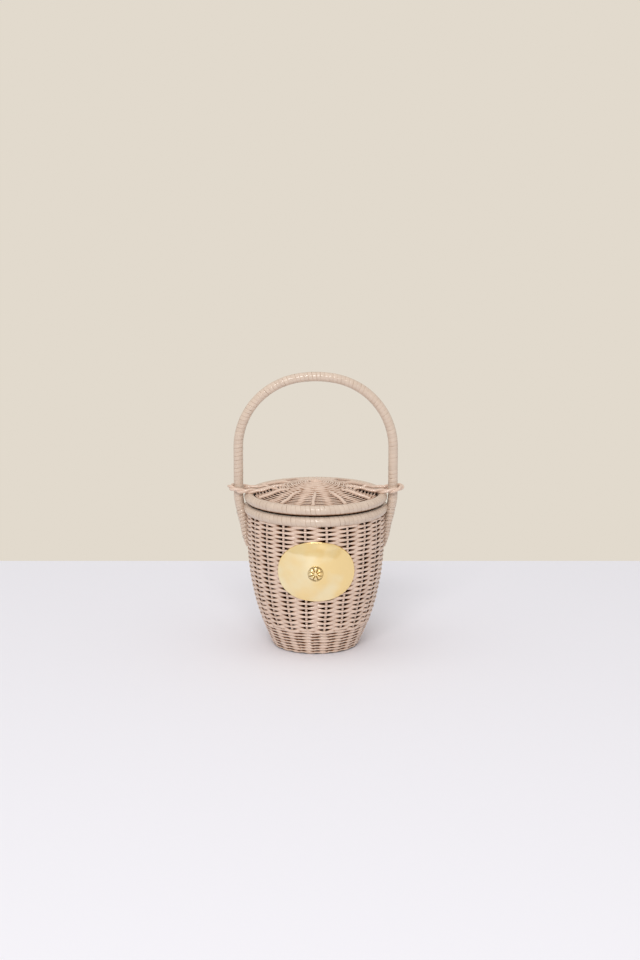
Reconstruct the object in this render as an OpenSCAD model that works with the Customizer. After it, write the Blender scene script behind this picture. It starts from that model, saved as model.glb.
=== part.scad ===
// Wicker bucket bag with a lid that slides on a fixed arched handle.
// Millimetres, +Z up, front towards -Y, origin at the centre of the base on the floor.

/* [Basket] */
// Height of the woven wall, floor to the underside of the rim
wall_h = 137; // [110:1:170]
// Outer radius of the wall at the floor
base_r = 41.5; // [34:0.5:52]
// Outer radius of the wall under the rim
wall_top_r = 69; // [62:0.5:80]
// How early the wall swells: higher is rounder near the floor
swell = 2.6; // [1.5:0.1:3.5]
// Number of upright stakes
stakes = 20; // [16:2:24]
// Thickness of a stake
stake_d = 2.6; // [2:0.1:3.2]
// Thickness of a weaver
weaver_d = 2.3; // [1.8:0.1:2.8]
// Height of one row of weaving
row_pitch = 2.5; // [2.3:0.05:3]
// Number of heavy rows at the foot
foot_rows = 8; // [4:1:10]
// Height of one heavy foot row
foot_pitch = 3.4; // [2.6:0.1:3.8]
// Thickness of the woven base
base_t = 6; // [4:0.5:9]
// Spacing of the rings in the base
base_pitch = 4; // [3:0.25:5]

/* [Weave gaps] */
// Number of rows in the wall that show open gaps
gap_rows = 5; // [2:1:5]
// Width of a gap
gap_w = 5.4; // [3:0.1:6]
// Height of a gap
gap_h = 2.1; // [1.9:0.05:2.2]
// Number of rows in the lid that show open gaps
lid_gap_rows = 3; // [1:1:4]
// Width of a gap in the lid
lid_gap_w = 7.6; // [4:0.1:8]
// Height of a gap in the lid
lid_gap_h = 2.2; // [1.6:0.1:2.8]

/* [Rim] */
// Thickness of the rim with its binding
rim_d = 10.2; // [8:0.1:12]
// How far the rim's centre line lies inside the wall's outer face
rim_inset = 1.8; // [0:0.1:4]
// Thickness of the cane strip used for binding and wrapping
cane_t = 0.85; // [0.6:0.05:1.2]

/* [Lid] */
// Thickness of the lid's hoop with its binding
lid_d = 10; // [8:0.1:12]
// How much smaller the lid's hoop is than the rim, in radius
lid_inset = 0.3; // [0:0.1:2]
// Rise of the woven cone from its edge to its centre
lid_rise = 13.7; // [8:0.1:22]
// Height of the woven cone's edge above the middle of the hoop
lid_edge_up = 1.5; // [0:0.1:2.5]
// Number of spokes in the lid
spokes = 12; // [10:2:16]
// Spacing of the weaving rows in the lid
lid_pitch = 3; // [2.6:0.1:4.5]
// Radius of the knot at the centre of the lid
knot_r = 4.5; // [4:0.5:6]

/* [Loops] */
// Thickness of one of a loop's two strands
strand_d = 2.4; // [1.8:0.1:3]
// Clear length inside a loop
loop_l = 20.2; // [18:0.1:26]
// Clear width inside a loop
loop_w = 17.2; // [14:0.1:22]
// How far a loop's centre line leans in from the leg's centre
loop_shift = 3; // [2:0.1:4]
// Full turns of twist round a loop
loop_twists = 4; // [2:1:6]

/* [Handle] */
// Thickness of the handle with its wrapping
handle_d = 9.7; // [8:0.1:11]
// Straight length of a leg above the middle of the rim
leg_h = 60; // [55:1:90]
// How far the crown sits below a full half circle
crown_drop = 5.35; // [2:0.05:12]
// How much longer the crown's radius is than half the span
crown_flat = 27.5; // [15:0.5:60]
// Length of a foot below the rim
foot_l = 36; // [25:1:50]
// Thickness of a foot at its tip
foot_tip_d = 1.6; // [1:0.1:3]
// How a foot thins towards its tip: 1 is straight, lower stays full for longer
foot_taper = 0.75; // [0.5:0.05:1]
// How far below the top of the wall a foot starts to lean out to its leg
foot_lean = 2; // [1:0.5:6]
// Number of bands in a lashing
bands = 6; // [4:1:8]
// Height of a lashing's bands over the foot
band_ridge = 1.6; // [1.2:0.05:2]
// Height of a lashing between its bands
band_valley = 1.1; // [0.8:0.05:1.15]

/* [Medallion] */
// Width of the plate, across the front
plate_w = 76; // [60:1:84]
// Height of the plate
plate_h = 62; // [48:1:70]
// How far the plate's centre lies below the top of the wall
plate_down = 46; // [38:1:70]
// Thickness of the plate at its edge
plate_t = 1.4; // [1:0.1:2.5]
// How far the middle of the plate swells out
plate_dome = 4.5; // [2:0.1:7]
// Radius of the boss at the centre of the plate
boss_r = 8; // [6:0.5:11]
// Height of the boss
boss_h = 2.2; // [1:0.1:3]
// Number of petals on the boss
petals = 8; // [6:2:10]
// Thickness of a stud on the plate's back
stud_d = 1.4; // [1:0.1:1.5]
// Width of the foot that fixes a stud to the plate
stud_foot_d = 4; // [3:0.1:6]
// Width of a nut across its corners
nut_d = 5; // [4:0.1:6]
// Thickness of a nut
nut_t = 2; // [1.5:0.1:3]

/* [Clearances] */
// Between a core and the strip wound round it
fit_gap = 0.1; // [0.05:0.05:0.2]
// Between pieces that rest on or against each other
seat_gap = 0.3; // [0.2:0.05:0.4]
// Between the rim and a handle leg, so that the lid slides freely
leg_gap = 0.35; // [0.3:0.05:0.6]

/* [Hidden] */
$fn = 48;

wicker = "#d8c0ae";
cane = "#dcc7b6";
gold = "#e6c98a";

// Wall: heavy foot rows, then fine rows that fill the height
foot_h = foot_rows * foot_pitch;
fine_rows = round((wall_h - foot_h) / row_pitch);
fine_pitch = (wall_h - foot_h) / fine_rows;
wall_rows = foot_rows + fine_rows;
stake_step = 360 / stakes;
// The front lies midway between two stakes
first_stake = -90 + stake_step / 2;
wall_t = stake_d + 2 * weaver_d;

// Rim, lid and handle stack up from the wall
rim_r = wall_top_r - rim_inset;
rim_z = wall_h + seat_gap + rim_d / 2;
lid_r = rim_r - lid_inset;
lid_z = rim_z + rim_d / 2 + seat_gap + lid_d / 2;
lid_top = lid_z + lid_d / 2;
lid_weave_r = lid_r - lid_d / 2 - seat_gap;
lid_rows = round((lid_weave_r - knot_r) / lid_pitch);
lid_edge_z = lid_z + lid_edge_up;
// The lid's spokes lie a little to the left of the front
first_spoke = -92;

leg_x = rim_r + rim_d / 2 + leg_gap + handle_d / 2;
rod_r = handle_d / 2 - cane_t - fit_gap;
spring_z = rim_z + leg_h;
shoulder_in = crown_drop + crown_drop * crown_drop / (2 * crown_flat);
shoulder_r = leg_x - shoulder_in;
crown_r = leg_x + crown_flat;
crown_z = spring_z + leg_x - crown_drop - crown_r;
crown_half = asin(shoulder_in / (crown_r - shoulder_r));
crown_lap = 0.3;
crown_hair = 0.02;

// A foot leaves the leg at the rim and tapers down along the wall
foot_tip_z = wall_h - foot_l;
foot_lean_z = wall_h - foot_lean;
foot_top_z = rim_z - rim_d / 5;
lash_low = foot_tip_z + foot_pitch / 2;
lash_high = rim_z - seat_gap;
lash_z = [for (i = [0:2 * bands]) lash_low + (lash_high - lash_low) * i / (2 * bands)];
shoulder_steps = 16;
crown_steps = 3;
rod_sides = 8;

// Two strands side by side, turning round the loop's centre line
strand_r = strand_d / 2;
strand_sink = 0.8;
loop_half = strand_r * (1 + strand_sink);
loop_z = lid_top + seat_gap + loop_half;
loop_steps = 30;
loop_sides = 10;

plate_z = wall_h - plate_down;

// The studs pass through gaps in the row nearest to the plate's middle, beside the second
// stake on each side of the front
stud_row = foot_rows + round((plate_z - foot_h) / fine_pitch);
stud_cells = [0, 2 * stakes - 3];
stud_angles = [for (c = stud_cells) first_stake + (c + 0.5) * stake_step / 2];
plate_sides = 32;
dome_power = 1.4;
petal_low = 0.55;
petal_power = 0.7;
boss_share = boss_r / (plate_w / 2);
back_rings = [1, 0.8, 0.6, 0.4, 0.2, 0.03];
plate_rings = concat(
    [for (s = [0.1, 0.4, 0.7, 0.9, 1]) s * boss_share],
    [for (i = [1:4]) boss_share + (1 - boss_share) * i / 4]
);

// Outer radius of the wall at a height
function wall_r(z) =
    base_r + (wall_top_r - base_r) * (1 - pow(1 - min(max(z, 0), wall_h) / wall_h, swell));

// Height of a row of the wall, also between rows
function row_z(row) =
    row < foot_rows ? row * foot_pitch : foot_h + (row - foot_rows) * fine_pitch;

stud_z = row_z(stud_row + 0.5);

function polar(r, a, z) = [r * cos(a), r * sin(a), z];

function smooth(t) = t * t * (3 - 2 * t);

// A weaver lies outside a stake on every second row, and inside it on the rows between
function over(row, post) = (row + post) % 2 == 0;
function face_out(row, post, post_d, reed_d) = post_d / 2 + (over(row, post) ? reed_d : 0);
function face_in(row, post, post_d, reed_d) = -post_d / 2 - (over(row, post) ? 0 : reed_d);

// Points of one gap on one face: left, low, right, high. The gap is a lozenge in its cell
function gap_points(cell, offset, place) =
    let (row = cell[0] + 0.5, column = (cell[1] + 0.5) / 2, w = cell[2], h = cell[3])
    [
        place(row, column - w, offset),
        place(row - h, column, offset),
        place(row, column + w, offset),
        place(row + h, column, offset)
    ];

// Four corners of a cell and the four points of its gap, joined by eight triangles
function round_gap(a, b, c, d, g) = [
    [a, b, g + 1], [a, g + 1, g], [b, c, g + 2], [b, g + 2, g + 1],
    [c, d, g + 3], [c, g + 3, g + 2], [d, a, g], [d, g, g + 3]
];

function flip(faces) = [for (f = faces) [f[2], f[1], f[0]]];

function has_gap(gaps, row, column) = len([for (g = gaps) if (g[0] == row && g[1] == column) g]) > 0;

// A woven sheet between posts. The outer face has a column on each post and one between
// posts, the inner face has one on each post. place(row, post, offset) gives a point.
// Each gap is [row, outer column, half width in posts, half height in rows].
// A sheet with a centre closes in two points after its last row.
module woven_sheet(rows, posts, post_d, reed_d, gaps, place, centre = []) {
    n = 2 * posts;
    inner = (rows + 1) * n;
    outer_gap = inner + (rows + 1) * posts;
    inner_gap = outer_gap + 4 * len(gaps);
    top = inner_gap + 4 * len(gaps);
    outer_points = [
        for (j = [0:rows], c = [0:n - 1])
            place(j, c / 2, c % 2 == 0 ? face_out(j, c / 2, post_d, reed_d) : reed_d / 2)
    ];
    inner_points = [
        for (j = [0:rows], k = [0:posts - 1]) place(j, k, face_in(j, k, post_d, reed_d))
    ];
    outer_gap_points = [
        for (g = gaps) each gap_points(g, (post_d + reed_d) / 2, place)
    ];
    inner_gap_points = [
        for (g = gaps) each gap_points(g, -(post_d + reed_d) / 2, place)
    ];
    outer_faces = [
        for (j = [0:rows - 1], c = [0:n - 1])
            let (a = j * n + c, b = j * n + (c + 1) % n)
            if (!has_gap(gaps, j, c))
                each (j + floor(c / 2)) % 2 == 0
                    ? [[a, a + n, b], [b, a + n, b + n]]
                    : [[a, b + n, b], [a, a + n, b + n]]
    ];
    inner_faces = [
        for (j = [0:rows - 1], k = [0:posts - 1])
            let (a = inner + j * posts + k, b = inner + j * posts + (k + 1) % posts)
            if (!has_gap(gaps, j, 2 * k) && !has_gap(gaps, j, 2 * k + 1))
                each [[a, b, a + posts], [b, b + posts, a + posts]]
    ];
    gap_faces = [
        for (i = [0:1:len(gaps) - 1])
            let (
                j = gaps[i][0],
                c = gaps[i][1],
                k = floor(c / 2),
                a = j * n + c,
                b = j * n + (c + 1) % n,
                p = inner + j * posts + k,
                q = inner + j * posts + (k + 1) % posts,
                u = outer_gap + 4 * i,
                v = inner_gap + 4 * i
            )
            each concat(
                flip(round_gap(a, b, b + n, a + n, u)),
                round_gap(p, q, q + posts, p + posts, v),
                [
                    for (s = [0:3])
                        let (t = (s + 1) % 4)
                        each [[u + t, u + s, v + s], [u + t, v + s, v + t]]
                ]
            )
    ];
    first_faces = [
        for (k = [0:posts - 1])
            let (a = 2 * k, b = 2 * k + 1, c = (2 * k + 2) % n, p = inner + k, q = inner + (k + 1) % posts)
            each [[a, b, p], [b, c, q], [b, q, p]]
    ];
    last_faces = [
        for (k = [0:posts - 1])
            let (
                a = rows * n + 2 * k,
                b = a + 1,
                c = rows * n + (2 * k + 2) % n,
                p = inner + rows * posts + k,
                q = inner + rows * posts + (k + 1) % posts
            )
            each len(centre) == 0
                ? [[a, p, b], [b, q, c], [b, p, q]]
                : [[a, top, b], [b, top, c], [p, q, top + 1]]
    ];
    polyhedron(
        concat(outer_points, inner_points, outer_gap_points, inner_gap_points, centre),
        concat(outer_faces, inner_faces, gap_faces, first_faces, last_faces)
    );
}

// A closed solid through rings of equal point counts, joined end to end or with flat ends.
// A ring that isn't convex gives the faces that fill its end
module loft(rings, closed = false, end_faces = []) {
    n = len(rings[0]);
    m = len(rings);
    end = len(end_faces) > 0 ? end_faces : [[for (j = [0:n - 1]) j]];
    sides = [
        for (i = [0:closed ? m - 1 : m - 2], j = [0:n - 1])
            let (a = i * n, b = ((i + 1) % m) * n, k = (j + 1) % n)
            each [[a + j, b + j, a + k], [a + k, b + j, b + k]]
    ];
    first = [for (f = end) f];
    last = [for (f = end) [for (j = [len(f) - 1:-1:0]) (m - 1) * n + f[j]]];
    polyhedron([for (r = rings) each r], closed ? sides : concat(sides, first, last));
}

// Straight tube between two heights
module tube(r_out, r_in, z_low, z_high) {
    translate([0, 0, z_low])
        difference() {
            cylinder(r = r_out, h = z_high - z_low);
            if (r_in > 0)
                translate([0, 0, -1])
                    cylinder(r = r_in, h = z_high - z_low + 2);
        }
}

// Round section, hollow where r_in is given
module section(r_out, r_in) {
    difference() {
        circle(r = r_out);
        if (r_in > 0)
            circle(r = r_in);
    }
}

// Bent stretch of the handle in the XZ plane, from one angle above +X to another
module bend(r_out, r_in, radius, from, to) {
    rotate([90, 0, 0])
        rotate([0, 0, from])
            rotate_extrude(angle = to - from)
                translate([radius, 0])
                    section(r_out, r_in);
}

// The handle's arch and straight legs at a given section. The crown is a hair thicker
// than the shoulders, and laps over them where they meet
module arch(r_out, r_in) {
    shoulder_end = 90 - crown_half;
    crown_end = shoulder_end - crown_lap;
    translate([0, 0, crown_z])
        bend(r_out + crown_hair, max(0, r_in - crown_hair), crown_r, crown_end, 180 - crown_end);
    for (side = [0, 1])
        mirror([side, 0, 0]) {
            translate([shoulder_in, 0, spring_z])
                bend(r_out, r_in, shoulder_r, 0, shoulder_end);
            translate([leg_x, 0, 0])
                tube(r_out, r_in, rim_z, spring_z);
        }
}

// Hoop of round section
module hoop(ring_r, z, r_out, r_in) {
    translate([0, 0, z])
        rotate_extrude()
            translate([ring_r, 0])
                section(r_out, r_in);
}

// Outermost surface behind a foot: the wall, or the rim above it
function behind_foot(z) =
    z < wall_h + seat_gap
        ? wall_r(z)
        : max(wall_top_r, rim_r + sqrt(max(0, rim_d * rim_d / 4 - pow(z - rim_z, 2))));

function foot_r(z) =
    let (t = (min(z, foot_lean_z) - foot_tip_z) / (foot_lean_z - foot_tip_z))
    foot_tip_d / 2 + (rod_r - foot_tip_d / 2) * pow(max(0, t), foot_taper);

function foot_x(z) =
    let (on_wall = wall_r(z) + seat_gap + foot_r(z))
    z < foot_lean_z ? on_wall
        : on_wall + (leg_x - on_wall) * smooth(min(1, (z - foot_lean_z) / (foot_top_z - foot_lean_z)));

// Stations along the rod, [x, z, radius, turn]: a foot, a shoulder and half the crown
half_rod = concat(
    [for (z = concat(foot_tip_z, lash_z, rim_z)) [foot_x(z), z, foot_r(z), 0]],
    [
        for (i = [0:shoulder_steps])
            let (a = (90 - crown_half) * i / shoulder_steps)
            [shoulder_in + shoulder_r * cos(a), spring_z + shoulder_r * sin(a), rod_r, a]
    ],
    [
        for (i = [1:crown_steps])
            let (a = 90 - crown_half + crown_half * i / crown_steps)
            [crown_r * cos(a), crown_z + crown_r * sin(a), rod_r, a]
    ]
);
rod_stations = concat(
    half_rod,
    [for (i = [len(half_rod) - 2:-1:0]) let (s = half_rod[i]) [-s[0], s[1], s[2], 180 - s[3]]]
);

// Ring of points round one station of the rod
function rod_ring(s) = [
    for (j = [0:rod_sides - 1])
        let (b = j * 360 / rod_sides, out = s[2] * cos(b))
        [s[0] + out * cos(s[3]), -s[2] * sin(b), s[1] + out * sin(s[3])]
];

// One U-shaped slice of a lashing: over the foot and down to the wall on both sides
function lash_slice(z, t) =
    let (
        r = foot_r(z) + fit_gap,
        x = foot_x(z),
        back = behind_foot(z) + seat_gap,
        angles = [90:-45:-90]
    )
    concat(
        [[back, r + t, z]],
        [for (a = angles) [x, 0, 0] + polar(r + t, a, z)],
        [[back, -r - t, z], [back, -r, z]],
        [for (i = [0:4]) [x, 0, 0] + polar(r, -90 + 45 * i, z)],
        [[back, r, z]]
    );

// Cane bands over one foot, each a ridge
module lashing() {
    color(cane)
        loft(
            [for (i = [0:2 * bands]) lash_slice(lash_z[i], i % 2 == 1 ? band_ridge : band_valley)],
            end_faces = [for (i = [0:5]) [i, i + 1, 12 - i, 13 - i]]
        );
}

// Half width of a two-strand section in a given direction
function strand_rho(a) =
    let (s = strand_sink * strand_r)
    s * abs(cos(a)) + sqrt(strand_r * strand_r - pow(s * sin(a), 2));

// Twisted loop round one leg, lying on the lid's hoop
module loop() {
    half_l = loop_l / 2 + loop_half;
    half_w = loop_w / 2 + loop_half;
    color(cane)
        translate([leg_x - loop_shift, 0, loop_z])
            loft([
                for (i = [0:loop_steps - 1])
                    let (a = i * 360 / loop_steps, turn = a * loop_twists)
                    [
                        for (j = [0:loop_sides - 1])
                            let (b = j * 360 / loop_sides, rho = strand_rho(b))
                            [
                                (half_l + rho * cos(b + turn)) * cos(a),
                                (half_w + rho * cos(b + turn)) * sin(a),
                                rho * sin(b + turn)
                            ]
                    ]
            ], closed = true);
}

// Place on the wall, by row, stake and distance out from the middle of the weave
wall_place = function (row, post, offset)
    let (z = row_z(row))
    polar(wall_r(z) - wall_t / 2 + offset, first_stake + post * stake_step, z);

// Place on the lid, rows counted inwards from the edge
lid_place = function (row, post, offset)
    let (r = lid_weave_r + (knot_r - lid_weave_r) * row / lid_rows)
    polar(r, first_spoke + post * 360 / spokes, lid_edge_z + lid_rise * (1 - r / lid_weave_r) + offset);

// Gap sizes as shares of a cell, and the cells that have one. A cell is half a post wide
widest_gap = 0.2;
function wall_gap(row, column) =
    let (girth = 2 * PI * wall_r(row_z(row)))
    [row, column, min(widest_gap, gap_w / 2 * stakes / girth), gap_h / 2 / (row_z(row + 1) - row_z(row))];

wall_gap_rows = [for (i = [1:gap_rows]) floor((i - 0.5) * wall_rows / gap_rows)];
wall_gaps = concat(
    [for (j = wall_gap_rows, k = [0:stakes - 1]) if (j != stud_row) wall_gap(j, 2 * k + (j + k) % 2)],
    [for (c = stud_cells) wall_gap(stud_row, c)]
);
lid_gap_share = min(widest_gap, lid_gap_w / 2 * spokes / (2 * PI * lid_weave_r));
lid_gap_step = 3;
lid_gaps = [
    for (i = [0:lid_gap_rows - 1], k = [0:spokes - 1])
        let (row = 1 + i * lid_gap_step)
        [row, 2 * k + (row + k + 1) % 2, lid_gap_share, lid_gap_h / 2 / lid_pitch]
];

module basket_wall() {
    color(wicker)
        woven_sheet(wall_rows, stakes, stake_d, weaver_d, wall_gaps, wall_place);
}

// Flat woven disc: rings of weaving show as ridges on both faces
module basket_base() {
    groove = base_pitch / 5;
    edge_r = base_r - wall_t - seat_gap;
    rings = floor((edge_r - base_pitch / 2) / base_pitch);
    color(wicker)
        difference() {
            cylinder(r = edge_r, h = base_t);
            for (i = [1:rings], z = [0, base_t])
                translate([0, 0, z])
                    rotate_extrude()
                        translate([i * base_pitch, 0])
                            rotate([0, 0, 45])
                                square(groove * sqrt(2), center = true);
        }
}

module rim_hoop() {
    color(wicker)
        hoop(rim_r, rim_z, rim_d / 2 - cane_t - fit_gap, 0);
}

module rim_binding() {
    color(cane)
        hoop(rim_r, rim_z, rim_d / 2, rim_d / 2 - cane_t);
}

module lid_hoop() {
    color(wicker)
        hoop(lid_r, lid_z, lid_d / 2 - cane_t - fit_gap, 0);
}

module lid_binding() {
    color(cane)
        hoop(lid_r, lid_z, lid_d / 2, lid_d / 2 - cane_t);
}

module lid_weave() {
    centre_z = lid_edge_z + lid_rise;
    half_t = wall_t / 2;
    color(wicker)
        woven_sheet(lid_rows, spokes, stake_d, weaver_d, lid_gaps, lid_place,
            [[0, 0, centre_z + half_t], [0, 0, centre_z - half_t]]);
}

module handle_rod() {
    color(wicker)
        loft([for (s = rod_stations) rod_ring(s)]);
}

module handle_wrap() {
    color(cane)
        arch(handle_d / 2, handle_d / 2 - cane_t);
}

module left_lashing() {
    mirror([1, 0, 0])
        lashing();
}

module right_lashing() {
    lashing();
}

module left_loop() {
    mirror([1, 0, 0])
        loop();
}

module right_loop() {
    loop();
}

// Point of the plate at a share of its radius and an angle, out from the wall's face
function plate_point(share, a, out) =
    let (x = share * plate_w / 2 * cos(a), z = plate_z + share * plate_h / 2 * sin(a))
    let (r = wall_r(z) + out)
    [x, -sqrt(r * r - x * x), z];

// The plate is a shell that stands off the wall towards its middle
function plate_back(share) = seat_gap + plate_dome * (1 - pow(share, dome_power));

// A petalled boss rises from the middle of its front
function plate_front(share, a) =
    let (
        reach = min(1, share / boss_share),
        petal = petal_low + (1 - petal_low) * pow(abs(cos(petals / 2 * a)), petal_power)
    )
    plate_back(share) + plate_t + boss_h * petal * sqrt(1 - reach * reach);

module medallion() {
    angles = [for (j = [0:plate_sides - 1]) j * 360 / plate_sides];
    front = [for (s = plate_rings) [for (a = angles) plate_point(s, a, plate_front(s, a))]];
    back = [for (s = back_rings) [for (a = angles) plate_point(s, a, plate_back(s))]];
    color(gold)
        loft(concat(front, back));
}

// How far the wall leans over half of a width at a stud
function lean(width) = wall_r(stud_z) - wall_r(stud_z - width / 2);

// Depth of a nut's seat: the wall's inner face is flat between stakes, and leans
nut_seat = wall_t + wall_r(stud_z) * (1 - cos(stake_step / 2)) + lean(nut_d) + seat_gap;

// At a stud, facing out from the wall: the wall's face is at zero
module at_studs() {
    for (a = stud_angles)
        rotate([0, 0, a])
            translate([wall_r(stud_z), 0, stud_z])
                rotate([0, 90, 0])
                    children();
}

module medallion_studs() {
    // The stud's foot clears the plate's back, which falls away and leans across it
    middle = [wall_r(stud_z) * cos(stud_angles[0]) / plate_w, (stud_z - plate_z) / plate_h];
    share = 2 * norm(middle) + stud_foot_d / min(plate_w, plate_h);
    top = plate_back(share) - lean(stud_foot_d) - seat_gap;
    bottom = -nut_seat - nut_t;
    color(gold)
        at_studs()
            union() {
                translate([0, 0, bottom])
                    cylinder(d = stud_d, h = top - bottom);
                translate([0, 0, top - plate_t / 2])
                    cylinder(d = stud_foot_d, h = plate_t / 2);
            }
}

module medallion_nuts() {
    color(gold)
        at_studs()
            translate([0, 0, -nut_seat - nut_t])
                difference() {
                    cylinder(d = nut_d, h = nut_t, $fn = 6);
                    translate([0, 0, -1])
                        cylinder(d = stud_d + 2 * fit_gap, h = nut_t + 2);
                }
}

basket_base();
basket_wall();
rim_hoop();
rim_binding();
handle_rod();
handle_wrap();
left_lashing();
right_lashing();
medallion();
medallion_studs();
medallion_nuts();
lid_weave();
lid_hoop();
lid_binding();
left_loop();
right_loop();
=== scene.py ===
"""Wicker bucket bag: woven bucket, bound rim, woven lid that slides on the handle, gold plate."""
from math import asin, cos, exp, hypot, pi, radians, sin, sqrt

import bmesh
import bpy
from mathutils import Color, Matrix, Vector, noise


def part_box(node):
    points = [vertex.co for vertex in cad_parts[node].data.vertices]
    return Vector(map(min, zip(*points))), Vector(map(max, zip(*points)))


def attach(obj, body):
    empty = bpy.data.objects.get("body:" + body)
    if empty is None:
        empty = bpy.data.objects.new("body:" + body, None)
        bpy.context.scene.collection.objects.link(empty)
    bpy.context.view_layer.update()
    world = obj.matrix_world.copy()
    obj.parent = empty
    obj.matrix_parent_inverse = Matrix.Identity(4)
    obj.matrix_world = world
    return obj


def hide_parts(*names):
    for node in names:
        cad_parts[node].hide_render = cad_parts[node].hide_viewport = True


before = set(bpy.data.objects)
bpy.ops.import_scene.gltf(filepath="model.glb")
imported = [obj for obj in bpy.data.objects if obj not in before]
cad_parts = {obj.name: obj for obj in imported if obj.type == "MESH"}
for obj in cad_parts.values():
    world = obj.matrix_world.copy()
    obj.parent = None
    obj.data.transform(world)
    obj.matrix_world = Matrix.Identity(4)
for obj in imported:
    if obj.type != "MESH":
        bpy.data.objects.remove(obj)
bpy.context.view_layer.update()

MM = 0.001
TURN = 2 * pi

# Sizes that the frame gives
_, wall_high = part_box("basket_wall")
base_low, base_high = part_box("basket_base")
rim_low, rim_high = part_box("rim_binding")
hoop_low, hoop_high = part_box("lid_binding")
wrap_low, wrap_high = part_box("handle_wrap")
rod_low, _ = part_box("handle_rod")
plate_low, plate_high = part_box("medallion")
loop_low, loop_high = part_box("right_loop")

WALL_H = wall_high.z
RIM_TUBE = (rim_high.z - rim_low.z) / 2
RIM_RING = rim_high.x - RIM_TUBE
RIM_Z = (rim_high.z + rim_low.z) / 2
HOOP_TUBE = (hoop_high.z - hoop_low.z) / 2
HOOP_RING = hoop_high.x - HOOP_TUBE
HOOP_Z = (hoop_high.z + hoop_low.z) / 2
LEG_R = (wrap_high.y - wrap_low.y) / 2
LEG_X = wrap_high.x - LEG_R
PLATE_Z = (plate_high.z + plate_low.z) / 2

# Sizes of the weave, the wound strip and the handle's arch
BASE_R = 41.5 * MM
WALL_TOP_R = 69 * MM
SWELL = 2.6
STAKES = 20
STAKE_D = 2.8 * MM
REED_SWING = 1.7 * MM
REED_DEPTH = 1.9 * MM
REED_PROUD = 1.0 * MM
FOOT_H = 27.2 * MM
LID_RISE = 13.7 * MM
LID_EDGE_UP = 1.5 * MM
SPOKES = 12
BUTTON_R = 7 * MM
CROWN_DROP = 5.35 * MM
CROWN_FLAT = 27.5 * MM
STRIP_W = 4.1 * MM
STRIP_T = 0.85 * MM
STRAND_D = 3.0 * MM
SEAT = 0.3 * MM


def wall_radius(z):
    """Outer radius of the bucket at a height."""
    share = min(max(z / WALL_H, 0), 1)
    return BASE_R + (WALL_TOP_R - BASE_R) * (1 - (1 - share) ** SWELL)


class Wire:
    """One output of a node, so that a rule can be written as a formula."""

    def __init__(self, bench, socket):
        self.bench = bench
        self.socket = socket

    def __add__(self, other):
        return self.bench.math("ADD", self, other)

    def __sub__(self, other):
        return self.bench.math("SUBTRACT", self, other)

    def __rsub__(self, other):
        return self.bench.math("SUBTRACT", other, self)

    def __mul__(self, other):
        return self.bench.math("MULTIPLY", self, other)

    def __truediv__(self, other):
        return self.bench.math("DIVIDE", self, other)

    def __mod__(self, other):
        return self.bench.math("FLOORED_MODULO", self, other)

    def __pow__(self, other):
        return self.bench.math("POWER", self, other)

    __radd__ = __add__
    __rmul__ = __mul__


class Bench:
    """Adds nodes to one tree and joins them."""

    def __init__(self, tree):
        self.tree = tree

    def put(self, target, value):
        """Joins a wire to an input, or sets the input to a plain value."""
        if isinstance(value, Wire):
            self.tree.links.new(value.socket, target)
        else:
            target.default_value = value

    def node(self, kind, inputs=None, **settings):
        """A new node with its settings and named inputs."""
        made = self.tree.nodes.new(kind)
        for name, value in settings.items():
            setattr(made, name, value)
        for name, value in (inputs or {}).items():
            sockets = [s for s in made.inputs if s.enabled and s.name == name]
            self.put(sockets[0], value)
        return made

    def out(self, kind, inputs=None, output=0, **settings):
        """One output, by name or number, of a new node."""
        made = self.node(kind, inputs, **settings)
        shown = [s for s in made.outputs if s.enabled]
        named = [s for s in shown if s.name == output]
        return Wire(self, named[0] if named else shown[output])

    def math(self, operation, *values):
        made = self.node("ShaderNodeMath", operation=operation)
        for socket, value in zip(made.inputs, values):
            self.put(socket, value)
        return Wire(self, made.outputs[0])

    def floor(self, value):
        return self.math("FLOOR", value)

    def clamp(self, value):
        """The value, held between 0 and 1."""
        return self.math("MINIMUM", self.math("MAXIMUM", value, 0.0), 1.0)

    def vector(self, x, y, z):
        return self.out("ShaderNodeCombineXYZ", {"X": x, "Y": y, "Z": z})

    def parts(self, vector):
        """X, Y and Z of a vector."""
        made = self.node("ShaderNodeSeparateXYZ", {"Vector": vector})
        return [Wire(self, s) for s in made.outputs]

    def vectors(self, operation, *values):
        """Vector arithmetic; the second value of SCALE is a number."""
        made = self.node("ShaderNodeVectorMath", operation=operation)
        sockets = [made.inputs[0], made.inputs["Scale"]] if operation == "SCALE" else made.inputs
        for socket, value in zip(sockets, values):
            self.put(socket, value)
        return Wire(self, made.outputs["Value" if operation == "DOT_PRODUCT" else "Vector"])

    def noise(self, vector, scale, detail=1.0, roughness=0.5):
        """Smooth noise about zero."""
        values = {"Vector": vector, "Scale": scale, "Detail": detail, "Roughness": roughness}
        return self.out("ShaderNodeTexNoise", values) - 0.5

    def ease(self, value, low, high):
        """0 at low and 1 at high, eased between them."""
        values = {"Value": value, "From Min": low, "From Max": high}
        return self.out("ShaderNodeMapRange", values, interpolation_type="SMOOTHSTEP")


# Geometry node trees
SOCKETS = {
    int: "NodeSocketInt", float: "NodeSocketFloat", Vector: "NodeSocketVector",
    Color: "NodeSocketColor"}
UP, ACROSS = (0.0, 0.0, 1.0), (0.0, 1.0, 0.0)
SWAY_RUN, SWAY_SCALE = 2.5, 1.5
SKIN_WEIGHT = 1.5
# How far a face must point into the bucket, and how much of the painted shade it is then spared
INDOORS = 0.6 * MM
INNER_FACE_SHADE_CUT = 0.4
LAYER_STEP, SLACK_LAYER = 1.7, 50
LOOSE_SCALE, SLACK_SCALE = 2.4, 4.0
LOOSE_TONE = 0.6
SLACK_OUT = 0.7
EDGE_LINES = 0.13
SEAM_SHARE = 0.06
UNDERSIDE = 0.55
TAIL_THIN = 0.6
WELD = 0.01 * MM


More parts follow.
